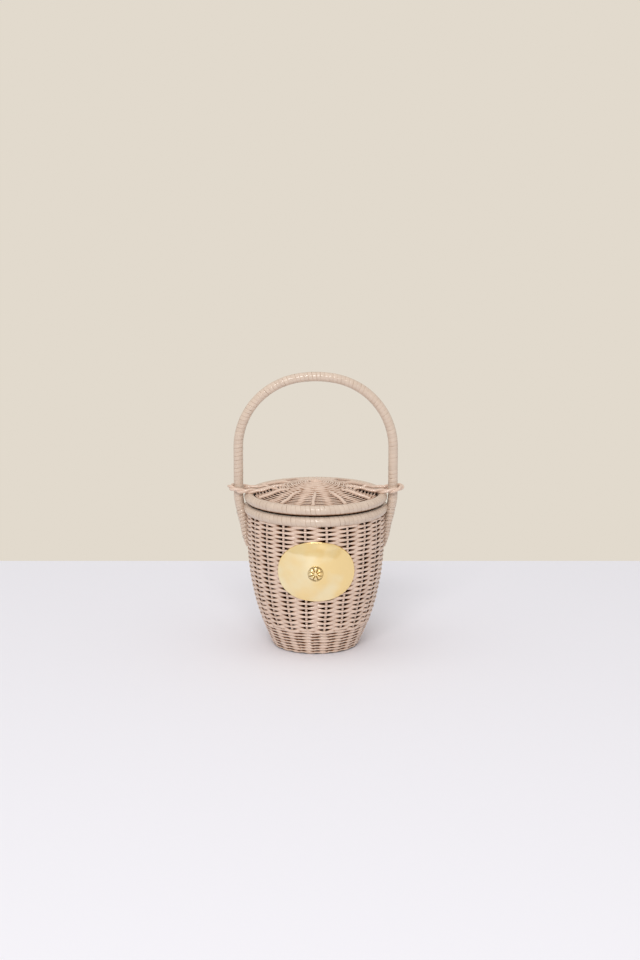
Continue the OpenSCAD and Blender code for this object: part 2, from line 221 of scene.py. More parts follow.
def new_tree(name, sizes):
    """A geometry tree with a shape in, a shape out, named sizes and a finish."""
    tree = bpy.data.node_groups.new(name, "GeometryNodeTree")
    face = tree.interface
    face.new_socket("Geometry", in_out="OUTPUT", socket_type="NodeSocketGeometry")
    face.new_socket("Geometry", in_out="INPUT", socket_type="NodeSocketGeometry")
    for label, kind in sizes.items():
        face.new_socket(label, in_out="INPUT", socket_type=SOCKETS[kind])
    face.new_socket("Finish", in_out="INPUT", socket_type="NodeSocketMaterial")
    bench = Bench(tree)
    entry = tree.nodes.new("NodeGroupInput")
    given = {s.name: Wire(bench, s) for s in entry.outputs if s.name}
    return bench, given


def close_tree(bench, mesh, finish):
    """Ends a tree: plain smooth faces with their finish."""
    real = bench.out("GeometryNodeRealizeInstances", {"Geometry": mesh})
    smooth = bench.out("GeometryNodeSetShadeSmooth", {"Geometry": real})
    done = bench.out("GeometryNodeSetMaterial", {"Geometry": smooth, "Material": finish})
    bench.put(bench.node("NodeGroupOutput").inputs[0], done)
    return bench.tree


def keep(bench, shape, name, value, kind="FLOAT"):
    """Stores a value on the shape's points."""
    values = {"Geometry": shape, "Name": name, "Value": value}
    return bench.out("GeometryNodeStoreNamedAttribute", values, data_type=kind, domain="POINT")


def kept(bench, name, kind="FLOAT"):
    """Reads a value that was stored on the points."""
    return bench.out("GeometryNodeInputNamedAttribute", {"Name": name}, data_type=kind)


def reed_section(bench, sides, depth, height):
    """Oval section of a reed, with its own way round stored."""
    circle = bench.out("GeometryNodeCurvePrimitiveCircle", {"Resolution": sides, "Radius": 1.0})
    size = bench.vector(depth * 0.5, height * 0.5, 1.0)
    oval = bench.out("GeometryNodeTransform", {"Geometry": circle, "Scale": size})
    index = bench.out("GeometryNodeInputIndex")
    return keep(bench, oval, "girth", index / sides)


def repeat_line(bench, line, count):
    """Copies of one curve as plain curves, all in one place."""
    spots = bench.out("GeometryNodeMeshLine", {"Count": count, "Offset": (0.0, 0.0, 0.0)})
    copies = bench.out("GeometryNodeInstanceOnPoints", {"Points": spots, "Instance": line})
    return bench.out("GeometryNodeRealizeInstances", {"Geometry": copies})


def on_profile(bench, given, angle, share):
    """Point, way out and radius at a share of the profile, turned round the axis to an angle.

    The same slow sway is in every angle, so that rows and posts stay together."""
    east, north = bench.math("COSINE", angle), bench.math("SINE", angle)
    drift = bench.noise(bench.vector(east, north, share * SWAY_RUN), SWAY_SCALE)
    turned = angle + given["Sway"] * drift
    east, north = bench.math("COSINE", turned), bench.math("SINE", turned)
    spot = bench.node("GeometryNodeSampleCurve", {"Curves": given["Geometry"], "Factor": share})
    place = bench.parts(Wire(bench, spot.outputs["Position"]))
    lead = bench.parts(Wire(bench, spot.outputs["Tangent"]))
    point = bench.vector(place[0] * east, place[0] * north, place[2])
    outward = bench.vector(lead[2] * east, lead[2] * north, lead[0] * -1)
    return point, outward, place[0]


def lay_reeds(bench, curves, point, outward, out):
    """Moves curves to their points and stores what paint_weave_shade reads."""
    place = bench.vectors("ADD", point, bench.vectors("SCALE", outward, out))
    curves = keep(bench, curves, "spine", place, "FLOAT_VECTOR")
    curves = keep(bench, curves, "outward", outward, "FLOAT_VECTOR")
    curves = keep(bench, curves, "out", out)
    return bench.out("GeometryNodeSetPosition", {"Geometry": curves, "Position": place})


def arm_of(bench):
    """From the middle of a reed to a point on its skin, and how far of that is outwards."""
    here = bench.out("GeometryNodeInputPosition")
    arm = bench.vectors("SUBTRACT", here, kept(bench, "spine", "FLOAT_VECTOR"))
    return arm, bench.vectors("DOT_PRODUCT", arm, kept(bench, "outward", "FLOAT_VECTOR"))


def swell_reeds(bench, mesh, thicken):
    """Makes reeds as tall as their stored fat; thicken is the share of it in their depth."""
    arm, side = arm_of(bench)
    fat = kept(bench, "fat")
    deep = side * (fat - 1) * (thicken - 1)
    moved = bench.vectors("ADD", bench.vectors("SCALE", arm, fat),
        bench.vectors("SCALE", kept(bench, "outward", "FLOAT_VECTOR"), deep))
    place = bench.vectors("ADD", kept(bench, "spine", "FLOAT_VECTOR"), moved)
    return bench.out("GeometryNodeSetPosition", {"Geometry": mesh, "Position": place})


def paint_weave_shade(bench, mesh, given):
    """Stores painted shade by how deep each point lies in the weave: 0 where it is left lit and 1
    where it is painted fully dark, as if in shadow.
    """
    _, side = arm_of(bench)
    # Painted shade: the deeper a point lies in the weave and the more it faces sideways, the darker
    # it is painted, as if shadowed by the reeds in front
    painted_shade = 1 - bench.ease(kept(bench, "out") + side * SKIN_WEIGHT, given["Shaded Below"], given["Unshaded Above"])
    # Faces that point into the bucket are spared part of the painted shade
    indoors = bench.ease(side * -1, 0.0, INDOORS)
    return keep(bench, mesh, "depth", painted_shade * (1 - indoors * INNER_FACE_SHADE_CUT))


def woven_rows_tree():
    """Rows of reed that go in and out between posts, on a surface turned from a profile.

    With two strands to a row they change sides at every post, as in twining."""
    bench, given = new_tree("woven_rows", {
        "Rows": int, "Strands": int, "Posts": int, "Steps": int, "Sides": int,
        "First Post": float, "Start": float, "End": float, "Crowding": float, "Swing": float,
        "Settle": float, "Rise": float, "Depth": float, "Height": float, "Swell": float,
        "Fill": float, "Even": float, "Tight": float, "Behind": float, "Under": float,
        "Ragged": float, "Thicken": float, "Shaded Below": float, "Unshaded Above": float, "Sway": float,
        "Wander": float, "Seed": int})
    points = given["Posts"] * given["Steps"]
    ring = bench.out("GeometryNodeCurvePrimitiveCircle", {"Resolution": points, "Radius": 1.0})
    rings = repeat_line(bench, ring, given["Rows"] * given["Strands"])

    index = bench.out("GeometryNodeInputIndex")
    strand = bench.floor((index + 0.5) / points)
    row = bench.floor((strand + 0.5) / given["Strands"])
    around = (index - strand * points) / given["Steps"]
    phase = (around + strand) * pi
    angle = given["First Post"] + around * TURN / given["Posts"]
    east, north = bench.math("COSINE", angle), bench.math("SINE", angle)
    layer = strand * LAYER_STEP + given["Seed"]
    loose = bench.noise(bench.vector(east, north, layer), LOOSE_SCALE, 2.0)
    slack = bench.noise(bench.vector(north, east, layer + SLACK_LAYER), SLACK_SCALE)

    even = (row + 0.5) / given["Rows"]
    crowded = even + given["Crowding"] * even * (1 - even)
    share = given["Start"] + (given["End"] - given["Start"]) * crowded
    length = bench.out("GeometryNodeCurveLength", {"Curve": given["Geometry"]})
    rise = given["Rise"] * bench.math("SINE", phase) + given["Wander"] * loose
    share = share + rise / length
    point, outward, radius = on_profile(bench, given, angle, share)
    calm = bench.clamp(radius / given["Settle"]) ** 2
    wave = bench.math("COSINE", phase)
    # With Under at 1 every reed passes below the posts, as beneath a lid's ribs
    in_front = bench.math("MAXIMUM", bench.ease(wave, -0.5, 0.5), given["Under"])
    wave = wave + (wave * wave + wave) * given["Under"] * -1
    out = given["Swing"] * calm * wave + given["Wander"] * slack * SLACK_OUT
    rows = lay_reeds(bench, rings, point, outward, out)
    rows = bench.out("GeometryNodeSetCurveNormal", {"Curve": rows}, mode="Z_UP")
    tone = bench.out("FunctionNodeRandomValue", {"ID": strand, "Seed": given["Seed"]})
    rows = keep(bench, rows, "tone", tone + loose * LOOSE_TONE)
    rows = keep(bench, rows, "along", angle * radius)
    # A reed is pressed thin where it passes a post and fills its row between the posts
    between = bench.math("ABSOLUTE", bench.math("SINE", phase)) ** 1.5
    fill = between * in_front + (1 - in_front) * given["Behind"]
    fill = given["Even"] + (fill - given["Even"]) * calm
    fat = 1 + (tone - 0.5) * 0.1 + slack * given["Ragged"]
    # Swell makes it tallest where it lies in front
    fat = fat + given["Swell"] * wave * wave * wave + given["Fill"] * fill
    # Tight closes the rows up in front and behind more than at the sides
    fat = fat + given["Tight"] * north * north * (1 - fill)
    fat = fat * (1 + given["Crowding"] * (1 - even * 2))
    rows = keep(bench, rows, "fat", fat)
    section = reed_section(bench, given["Sides"], given["Depth"], given["Height"])
    mesh = bench.out("GeometryNodeCurveToMesh", {"Curve": rows, "Profile Curve": section})
    mesh = swell_reeds(bench, mesh, given["Thicken"])
    return close_tree(bench, paint_weave_shade(bench, mesh, given), given["Finish"])


def posts_tree():
    """Stakes or spokes: round rods that follow the profile, repeated round the axis."""
    bench, given = new_tree("posts", {
        "Posts": int, "Steps": int, "Sides": int, "First Post": float, "Start": float,
        "End": float, "Thickness": float, "Shaded Below": float, "Unshaded Above": float, "Sway": float,
        "Wander": float, "Seed": int})
    line = bench.out("GeometryNodeCurvePrimitiveLine")
    line = bench.out("GeometryNodeResampleCurve", {"Curve": line, "Count": given["Steps"]})
    rods = repeat_line(bench, line, given["Posts"])
    index = bench.out("GeometryNodeInputIndex")
    post = bench.floor((index + 0.5) / given["Steps"])
    factor = (index - post * given["Steps"]) / (given["Steps"] - 1)
    share = given["Start"] + (given["End"] - given["Start"]) * factor
    angle = given["First Post"] + post * TURN / given["Posts"]
    point, outward, _ = on_profile(bench, given, angle, share)
    bend = bench.noise(bench.vector(share * 9, post * 3, given["Seed"]), 1.5)
    rods = lay_reeds(bench, rods, point, outward, bend * given["Wander"])
    tone = bench.out("FunctionNodeRandomValue", {"ID": post, "Seed": given["Seed"]})
    rods = keep(bench, rods, "tone", tone)
    rods = keep(bench, rods, "along", share * 0.15)
    section = reed_section(bench, given["Sides"], given["Thickness"], given["Thickness"])
    mesh = bench.out("GeometryNodeCurveToMesh", {
        "Curve": rods, "Profile Curve": section, "Fill Caps": True})
    return close_tree(bench, paint_weave_shade(bench, mesh, given), given["Finish"])


def winding_tree():
    """Cane strip wound round a rod: one long helix whose edges meet in a fine seam."""
    bench, given = new_tree("cane_winding", {
        "Turns": int, "Open": float, "Steps": int, "Sides": int, "Axis": Vector,
        "Crown": float, "Seam": float, "Shingle": float, "Wobble": float, "Shaded Below": float,
        "Seed": int})
    strips = given["Turns"] + given["Open"]
    across = strips * given["Steps"] + 1
    sheet = bench.out("GeometryNodeMeshGrid", {
        "Size X": 1.0, "Size Y": 1.0, "Vertices X": across, "Vertices Y": given["Sides"] + 1})
    spot = bench.parts(bench.out("GeometryNodeInputPosition"))
    strip = (spot[0] + 0.5) * strips
    lap = spot[1] + 0.5
    turn = bench.floor(strip + 0.001)
    even = strip - turn
    # Closer lines at the strip's edges keep the seam fine
    share = even - bench.math("SINE", even * TURN) * EDGE_LINES
    luck = bench.out("FunctionNodeRandomValue", {
        "ID": turn % given["Turns"], "Seed": given["Seed"]})
    wound = turn + share - lap
    ahead = bench.math("MINIMUM", bench.math("MAXIMUM", wound, 0.0), given["Turns"])
    looped = wound % given["Turns"]
    factor = (looped + (ahead - looped) * given["Open"]) / given["Turns"]

    girth = bench.out("GeometryNodeInputRadius")
    rod = bench.node("GeometryNodeSampleCurve", {
        "Curves": given["Geometry"], "Value": girth, "Factor": factor})
    radius, place, lead = [Wire(bench, rod.outputs[k]) for k in ("Value", "Position", "Tangent")]
    side = bench.vectors("NORMALIZE", bench.vectors("CROSS_PRODUCT", lead, given["Axis"]))
    edge = bench.math("MINIMUM", share, 1 - share)
    seam = 1 - bench.clamp(edge / SEAM_SHARE)
    middle = 1 - (share * 2 - 1) ** 2
    rise = given["Crown"] * middle + given["Wobble"] * (luck - 0.5) * middle
    rise = rise + given["Shingle"] * (share - 0.5) * (1 - seam) - given["Seam"] * seam
    reach = radius + rise
    angle = lap * TURN
    out = bench.vectors("ADD",
        bench.vectors("SCALE", side, reach * bench.math("COSINE", angle)),
        bench.vectors("SCALE", given["Axis"], reach * bench.math("SINE", angle)))
    wrapped = bench.vectors("ADD", place, out)
    sheet = keep(bench, sheet, "tone", luck)
    sheet = keep(bench, sheet, "edge", edge)
    # Painted shade on the underside of the strip, as if shadowed; Shaded Below sets how strong it
    # is
    below = bench.ease(bench.math("SINE", angle) * -1, UNDERSIDE, 1.0)
    sheet = keep(bench, sheet, "depth", below * given["Shaded Below"])
    sheet = keep(bench, sheet, "along", (turn + lap) * radius * TURN)
    sheet = keep(bench, sheet, "girth", share)
    sheet = bench.out("GeometryNodeSetPosition", {"Geometry": sheet, "Position": wrapped})
    mesh = bench.out("GeometryNodeMergeByDistance", {"Geometry": sheet, "Distance": WELD})
    return close_tree(bench, mesh, given["Finish"])


def twist_tree():
    """Two strands of cane twisted round each other along a path."""
    bench, given = new_tree("twisted_cane", {
        "Twists": float, "Tail": float, "Steps": int, "Sides": int, "Strand": float,
        "Spread": float, "Wander": float})
    path = bench.out("GeometryNodeResampleCurve", {
        "Curve": given["Geometry"], "Count": given["Steps"]})
    share = bench.out("GeometryNodeSplineParameter", output="Factor")
    reach = bench.out("GeometryNodeSplineParameter", output="Length")
    lead = bench.out("GeometryNodeInputTangent")
    side = bench.vectors("NORMALIZE", bench.vectors("CROSS_PRODUCT", lead, UP))
    twisted = bench.clamp((share - given["Tail"]) / (1 - given["Tail"] * 2))
    near_end = bench.math("MINIMUM", share, 1 - share)
    thick = TAIL_THIN + (1 - TAIL_THIN) * bench.clamp(near_end / given["Tail"])
    section = reed_section(bench, given["Sides"], given["Strand"], given["Strand"])
    join = bench.node("GeometryNodeJoinGeometry")
    for strand in (0, 1):
        wander = bench.noise(bench.vector(share * 9, 7.0 * strand, 0.0), 2.0)
        angle = given["Twists"] * twisted * TURN + strand * pi + wander * 0.8
        out = bench.vectors("ADD",
            bench.vectors("SCALE", side, given["Spread"] * bench.math("COSINE", angle)),
            bench.vectors("SCALE", UP, given["Spread"] * bench.math("SINE", angle)))
        laid = bench.out("GeometryNodeSetPosition", {"Geometry": path, "Offset": out})
        laid = keep(bench, laid, "tone", 0.35 + 0.3 * strand + wander)
        laid = keep(bench, laid, "along", reach)
        tube = bench.out("GeometryNodeCurveToMesh", {
            "Curve": laid, "Profile Curve": section, "Fill Caps": True,
            "Scale": thick + wander * given["Wander"]})
        bench.tree.links.new(tube.socket, join.inputs[0])
    return close_tree(bench, Wire(bench, join.outputs[0]), given["Finish"])


def rod_tree():
    """One oval rod along a path, its section scaled by the path's own radius."""
    bench, given = new_tree("plain_rod", {
        "Sides": int, "Depth": float, "Height": float, "Tone": float})
    path = keep(bench, given["Geometry"], "tone", given["Tone"])
    path = keep(bench, path, "along", bench.out("GeometryNodeSplineParameter", output="Length"))
    path = bench.out("GeometryNodeSetCurveNormal", {"Curve": path}, mode="Z_UP")
    section = reed_section(bench, given["Sides"], given["Depth"], given["Height"])
    mesh = bench.out("GeometryNodeCurveToMesh", {
        "Curve": path, "Profile Curve": section, "Scale": bench.out("GeometryNodeInputRadius"),
        "Fill Caps": True})
    return close_tree(bench, mesh, given["Finish"])


def add_object(name, data):
    """A new object in the scene."""
    made = bpy.data.objects.new(name, data)
    bpy.context.scene.collection.objects.link(made)
    return made


def path_object(name, points, closed=False, radii=None):
    """A poly curve through points, as the start of a piece."""
    curve = bpy.data.curves.new(name, "CURVE")
    curve.dimensions = "3D"
    spline = curve.splines.new("POLY")
    spline.points.add(len(points) - 1)
    for i, (spot, place) in enumerate(zip(spline.points, points)):
        spot.co = (*place, 1)
        spot.radius = radii[i] if radii else 1
    spline.use_cyclic_u = closed
    return add_object(name, curve)


def smooth_path(corners, steps):
    """Points of a smooth line through corners."""
    inner = [Vector(c) for c in corners]
    knots = [inner[0] * 2 - inner[1], *inner, inner[-1] * 2 - inner[-2]]
    points = []
    for a, b, c, d in zip(knots, knots[1:], knots[2:], knots[3:]):
        for i in range(steps):
            t = i / steps
            points.append(0.5 * (2 * b + (c - a) * t + (2 * a - 5 * b + 4 * c - d) * t ** 2
                + (3 * b - 3 * c + d - a) * t ** 3))
    return points + [knots[-2]]


def grow(name, start, tree, sizes, finish):
    """Runs a tree on a start shape and returns the result as a plain mesh object."""
    modifier = start.modifiers.new(tree.name, "NODES")
    modifier.node_group = tree
    for item in tree.interface.items_tree:
        if item.item_type == "SOCKET" and item.in_out == "INPUT" and item.name in sizes:
            modifier[item.identifier] = sizes[item.name]
        elif item.name == "Finish":
            modifier[item.identifier] = finish
    bpy.context.view_layer.update()
    graph = bpy.context.evaluated_depsgraph_get()
    mesh = bpy.data.meshes.new_from_object(start.evaluated_get(graph), depsgraph=graph)
    start.modifiers.remove(modifier)
    bpy.data.objects.remove(start)
    return mesh_object(name, mesh)


def mesh_object(name, mesh):
    """A piece whose faces point outwards."""
    work = bmesh.new()
    work.from_mesh(mesh)
    bmesh.ops.recalc_face_normals(work, faces=work.faces)
    work.to_mesh(mesh)
    work.free()
    mesh.name = name
    return add_object(name, mesh)


def mesh_from_rings(name, rings, finish):
    """A closed smooth mesh through rings of points, with flat ends."""
    work = bmesh.new()
    loops = [[work.verts.new(p) for p in ring] for ring in rings]
    count = len(rings[0])
    for first, second in zip(loops, loops[1:]):
        for j in range(count):
            k = (j + 1) % count
            work.faces.new((first[j], first[k], second[k], second[j])).smooth = True
    work.faces.new(loops[0])
    work.faces.new(loops[-1])
    mesh = bpy.data.meshes.new(name)
    work.to_mesh(mesh)
    work.free()
    mesh.materials.append(finish)
    return mesh_object(name, mesh)


# Finishes
# Painted shade colours, near black and brown, for the deep weave and the strip's underside; the
# join lines of wound strip use them too
DEEP_SHADE = (0.022, 0.006, 0.001, 1)
SHADE = (0.33, 0.15, 0.068, 1)
WICKER_PALE, WICKER_DEEP = (0.80, 0.62, 0.505, 1), (0.655, 0.485, 0.38, 1)
CANE_PALE, CANE_DEEP = (0.70, 0.565, 0.455, 1), (0.615, 0.488, 0.39, 1)
GOLD_PALE, GOLD_DEEP = (1.0, 0.86, 0.54, 1), (1.0, 0.765, 0.37, 1)
GOLD_HOLLOW_SHADE = (0.1, 0.04, 0.01, 1)
GRAIN_ALONG, GRAIN_ROUND, GRAIN_TONE = 60, 7, 30
GRAIN_SCALE, CLOUD_SCALE, JOIN_PATCH_SCALE, GOLD_SCALE = 6.0, 55.0, 130.0, 45.0
GRAIN_HEIGHT, GRAIN_BUMP = 0.3 * MM, 0.3
JOIN_PATCH_CONTRAST = 2.6
JOIN_SHARE = 0.07
COAT_ROUGHNESS = 0.06


def new_group(name, inputs, outputs):
    """A group of shader nodes with named inputs and outputs."""
    tree = bpy.data.node_groups.new(name, "ShaderNodeTree")
    for label, kind in inputs.items():
        tree.interface.new_socket(label, in_out="INPUT", socket_type=SOCKETS[kind])
    for label, kind in outputs.items():
        tree.interface.new_socket(label, in_out="OUTPUT", socket_type=SOCKETS[kind])
    bench = Bench(tree)
    entry = tree.nodes.new("NodeGroupInput")
    leave = tree.nodes.new("NodeGroupOutput")
    return bench, {s.name: Wire(bench, s) for s in entry.outputs if s.name}, leave


def mix_colour(bench, share, first, second):
    """Blend of two colours, all of the second where share is 1."""
    made = bench.node("ShaderNodeMix", data_type="RGBA")
    sockets = [s for s in made.inputs if s.enabled]
    for socket, value in zip(sockets, (share, first, second)):
        bench.put(socket, value)
    return Wire(bench, [s for s in made.outputs if s.enabled][0])


def stored(bench, name):
    """Value that a shape carries on its points."""
    return bench.out("ShaderNodeAttribute", output="Fac", attribute_name=name)


def lacquer_group():
    """Lacquered reed: tone from strand to strand, grain along it, and painted shade, brown to near
    black, where it lies deep or underneath.
    """
    bench, given, leave = new_group("lacquered_reed", {
        "Pale": Color, "Deep": Color, "Grain": float}, {
        "Colour": Color, "Roughness": float, "Coat": float, "Height": float})
    spot = bench.out("ShaderNodeTexCoord", output="Object")
    tone, along, girth, depth = [stored(bench, n) for n in ("tone", "along", "girth", "depth")]
    run = bench.vector(along * GRAIN_ALONG, girth * GRAIN_ROUND, tone * GRAIN_TONE)
    grain = bench.noise(run, GRAIN_SCALE, 3.0, 0.6)
    cloud = bench.noise(spot, CLOUD_SCALE, 3.0, 0.6)
    share = 0.5 + (tone - 0.5) * 0.5 + grain * given["Grain"] + cloud * 0.7
    colour = mix_colour(bench, bench.clamp(share), given["Deep"], given["Pale"])
    # Painted shade: where depth is high the colour goes to brown and then near black, as if in
    # shadow
    colour = mix_colour(bench, bench.clamp(depth * 2), colour, SHADE)
    colour = mix_colour(bench, bench.clamp(depth * 2 - 1), colour, DEEP_SHADE)
    bench.put(leave.inputs["Colour"], colour)
    # Painted shade is also matte and without coat, so it catches no highlight
    bench.put(leave.inputs["Roughness"], 0.36 + cloud * 0.3 + grain * 0.2 + depth * 0.5)
    bench.put(leave.inputs["Coat"], (0.9 + cloud * 0.3) * (1 - depth))
    bench.put(leave.inputs["Height"], grain + cloud * 0.5)
    return bench.tree


def new_material(name):
    """A material, its bench and its shader."""
    material = bpy.data.materials.new(name)
    material.use_nodes = True
    return material, Bench(material.node_tree), material.node_tree.nodes["Principled BSDF"]


def reed_material(name, group, pale, deep, grain, join_dark_and_shade=None):
    """Lacquered reed or cane; join_dark_and_shade is how much of the joins of wound strip is
    painted dark, partly the strip's own dark joint and partly painted shade in the crevice between
    turns.
    """
    material, bench, shader = new_material(name)
    values = {"Pale": pale, "Deep": deep, "Grain": grain}
    made = bench.node("ShaderNodeGroup", values, node_tree=group)
    colour, roughness, coat, height = [Wire(bench, s) for s in made.outputs]
    if join_dark_and_shade:
        spot = bench.out("ShaderNodeTexCoord", output="Object")
        patches = bench.clamp(join_dark_and_shade + bench.noise(spot, JOIN_PATCH_SCALE, 2.0) * JOIN_PATCH_CONTRAST)
        # Join line in random patches: partly the strip's own dark joint, partly painted shade in
        # the crevice between turns
        line = (1 - bench.ease(stored(bench, "edge"), 0.0, JOIN_SHARE)) * patches
        colour = mix_colour(bench, line, colour, SHADE)
        colour = mix_colour(bench, bench.clamp(line * 2 - 1), colour, DEEP_SHADE)
    bench.put(shader.inputs["Base Color"], colour)
    bench.put(shader.inputs["Roughness"], roughness)
    bump = bench.node("ShaderNodeBump", {
        "Strength": GRAIN_BUMP, "Distance": GRAIN_HEIGHT, "Height": height})
    bench.put(shader.inputs["Normal"], Wire(bench, bump.outputs[0]))
    bench.put(shader.inputs["Coat Weight"], coat)
    shader.inputs["Coat Roughness"].default_value = COAT_ROUGHNESS
    shader.inputs["Specular IOR Level"].default_value = 0.0
    return material


def gold_material():
    """Polished pale gold in soft patches, with a painted reflection that makes it paler at the
    lower left, and painted shade that makes it brown in hollows.
    """
    material, bench, shader = new_material("pale_gold")
    spot = bench.out("ShaderNodeTexCoord", output="Object")
    cloud = bench.noise(spot, GOLD_SCALE, 2.0, 0.5)
    hollow = stored(bench, "hollow")
    across, _, up = bench.parts(spot)
    # Painted reflection: paler towards the lower left, as if mirroring the bright table there; the
    # noise adds patches of tone
    pale = bench.clamp(0.45 + cloud * 3.6 - across * 10 - (up - PLATE_Z) * 6)
    colour = mix_colour(bench, pale, GOLD_DEEP, GOLD_PALE)
    # Painted shade: brown in the rosette's hollows
    colour = mix_colour(bench, hollow, colour, GOLD_HOLLOW_SHADE)
    bench.put(shader.inputs["Base Color"], colour)
    bench.put(shader.inputs["Roughness"], 0.2 + cloud * 0.1 + hollow * 0.15)
    shader.inputs["Metallic"].default_value = 1
    return material


lacquer = lacquer_group()
wicker_finish = reed_material("lacquered_wicker", lacquer, WICKER_PALE, WICKER_DEEP, 0.5)
cane_finish = reed_material("lacquered_cane_strip", lacquer, CANE_PALE, CANE_DEEP, 0.3, 0.35)
lashing_finish = reed_material("lacquered_lashing", lacquer, CANE_PALE, CANE_DEEP, 0.3, 0.6)
gold_finish = gold_material()

rows_tree = woven_rows_tree()
stakes_tree = posts_tree()
strip_tree = winding_tree()
cord_tree = twist_tree()
reed_tree = rod_tree()


def settle(piece, body, slot, *nodes):
    """Puts a finished piece on its body and hides the parts it stands for."""
    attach(piece, body)
    if nodes:
        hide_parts(*nodes)


# What rows, posts and wound strips have unless a piece says otherwise
PLAIN_ROWS = {
    "Strands": 1, "Start": 0.0, "End": 1.0, "Crowding": 0.0, "Settle": 1 * MM, "Rise": 0.0,
    "Swell": 0.0, "Fill": 0.0, "Even": 0.5, "Tight": 0.0, "Behind": 0.0, "Under": 0.0}
PLAIN_POSTS = {"Start": 0.0, "End": 1.0}
PLAIN_STRIP = {
    "Open": 1.0, "Steps": 6, "Sides": 20, "Axis": ACROSS, "Seam": 0.1 * MM,
    "Wobble": 0.14 * MM, "Shaded Below": 0.0}
# Thresholds so low that no painted shade is put anywhere
UNSHADED_ALL_OVER = {"Shaded Below": -9 * MM, "Unshaded Above": -8 * MM}

# Bucket
FIRST_STAKE = -pi / 2 + pi / STAKES
FOOT_INSET = 0.6 * MM


def path_length(points):
    """Length of a line through points."""
    return sum((Vector(a) - Vector(b)).length for a, b in zip(points, points[1:]))


def make_bucket():
    """Plain weave on stakes, over a foot that is twined with two strands."""
    steps, foot_steps = 60, 12
    heights = [WALL_H * i / steps for i in range(steps + 1)]
    inset = REED_SWING + REED_DEPTH / 2 - REED_PROUD
    profile = [(wall_radius(z) - inset, 0, z) for z in heights]
    foot_share = path_length([p for p in profile if p[2] <= FOOT_H]) / path_length(profile)
    foot_heights = [FOOT_H * i / foot_steps for i in range(foot_steps + 1)]
    foot = [(wall_radius(z) - FOOT_INSET, 0, z) for z in foot_heights]
    shared = {"Posts": STAKES, "First Post": FIRST_STAKE, "Sides": 8, "Sway": 0.09}
    rows = grow("wall_weavers", path_object("wall_profile", profile), rows_tree, {
        **PLAIN_ROWS, **shared, "Rows": 48, "Steps": 12, "Start": foot_share, "Crowding": 0.09,
        "Swing": REED_SWING, "Depth": REED_DEPTH, "Height": 1.75 * MM, "Fill": 1.75,
        "Behind": 0.9, "Ragged": 0.5, "Thicken": 0.35, "Shaded Below": 0.8 * MM, "Unshaded Above": 1.72 * MM,
        "Wander": 1.0 * MM, "Seed": 3}, wicker_finish)
    settle(rows, "basket", "wicker", "basket_wall")
    twined = grow("foot_weavers", path_object("foot_profile", foot), rows_tree, {
        **PLAIN_ROWS, **shared, "Rows": 8, "Strands": 2, "Steps": 10, "Start": 0.03,
        "Swing": 0.5 * MM, "Rise": -0.3 * MM, "Depth": 1.8 * MM, "Height": 2.3 * MM,
        "Swell": 0.58, "Ragged": 0.7, "Thicken": 0.0, "Shaded Below": 0.56 * MM, "Unshaded Above": 0.84 * MM,
        "Wander": 0.8 * MM, "Seed": 11}, wicker_finish)
    settle(twined, "basket", "wicker")
    stakes = grow("wall_stakes", path_object("stake_profile", profile), stakes_tree, {
        **PLAIN_POSTS, **shared, "Steps": 48, "Start": 0.01, "Thickness": STAKE_D,
        "Shaded Below": -0.4 * MM, "Unshaded Above": 0.3 * MM, "Wander": 0.3 * MM, "Seed": 5}, wicker_finish)
    settle(stakes, "basket", "wicker")


def make_base():
    """Round bottom, woven on spokes from its edge to its middle."""
    middle = (base_low.z + base_high.z) / 2
    profile = [(base_high.x - 1 * MM, 0, middle), (2 * MM, 0, middle)]
    shared = {"Posts": SPOKES, "First Post": 0.0, "Sway": 0.06, **UNSHADED_ALL_OVER}
    rows = grow("base_weavers", path_object("base_profile", profile), rows_tree, {
        **PLAIN_ROWS, **shared, "Rows": 15, "Steps": 8, "Sides": 6, "Swing": 1.6 * MM,
        "Settle": 12 * MM, "Depth": 2.1 * MM, "Height": 2.5 * MM, "Fill": 0.4, "Behind": 0.4,
        "Ragged": 0.16, "Thicken": 0.3, "Wander": 0.3 * MM, "Seed": 21}, wicker_finish)
    settle(rows, "basket", "wicker", "basket_base")
    spokes = grow("base_spokes", path_object("base_spoke", profile), stakes_tree, {
        **PLAIN_POSTS, **shared, "Steps": 12, "Sides": 8, "Thickness": 2.2 * MM,
        "Wander": 0.2 * MM, "Seed": 22}, wicker_finish)
    settle(spokes, "basket", "wicker")


# Bound hoops
BINDING_W = STRIP_W * 1.12
BINDING_INSET = 0.15 * MM
RIM_DOWN = 0.6 * MM
RIM_SWELL = 0.2 * MM
HOOP_UP = 0.3 * MM


def make_hoop(name, node, body, ring, tube, height, painted_shade, seed):
    """Cane strip wound round a hoop; painted_shade is how strongly shade is painted on its
    underside.
    """
    steps = 128
    path = [(ring * cos(TURN * i / steps), ring * sin(TURN * i / steps), height)
        for i in range(steps)]
    start = path_object(name, path, True, [tube - BINDING_INSET] * steps)
    piece = grow(name, start, strip_tree, {
        **PLAIN_STRIP, "Turns": round(TURN * ring / BINDING_W), "Open": 0.0, "Sides": 24,
        "Axis": UP, "Crown": 0.06 * MM, "Shingle": 0.08 * MM, "Shaded Below": painted_shade,
        "Seed": seed}, cane_finish)
    settle(piece, body, "cane_strip", node)


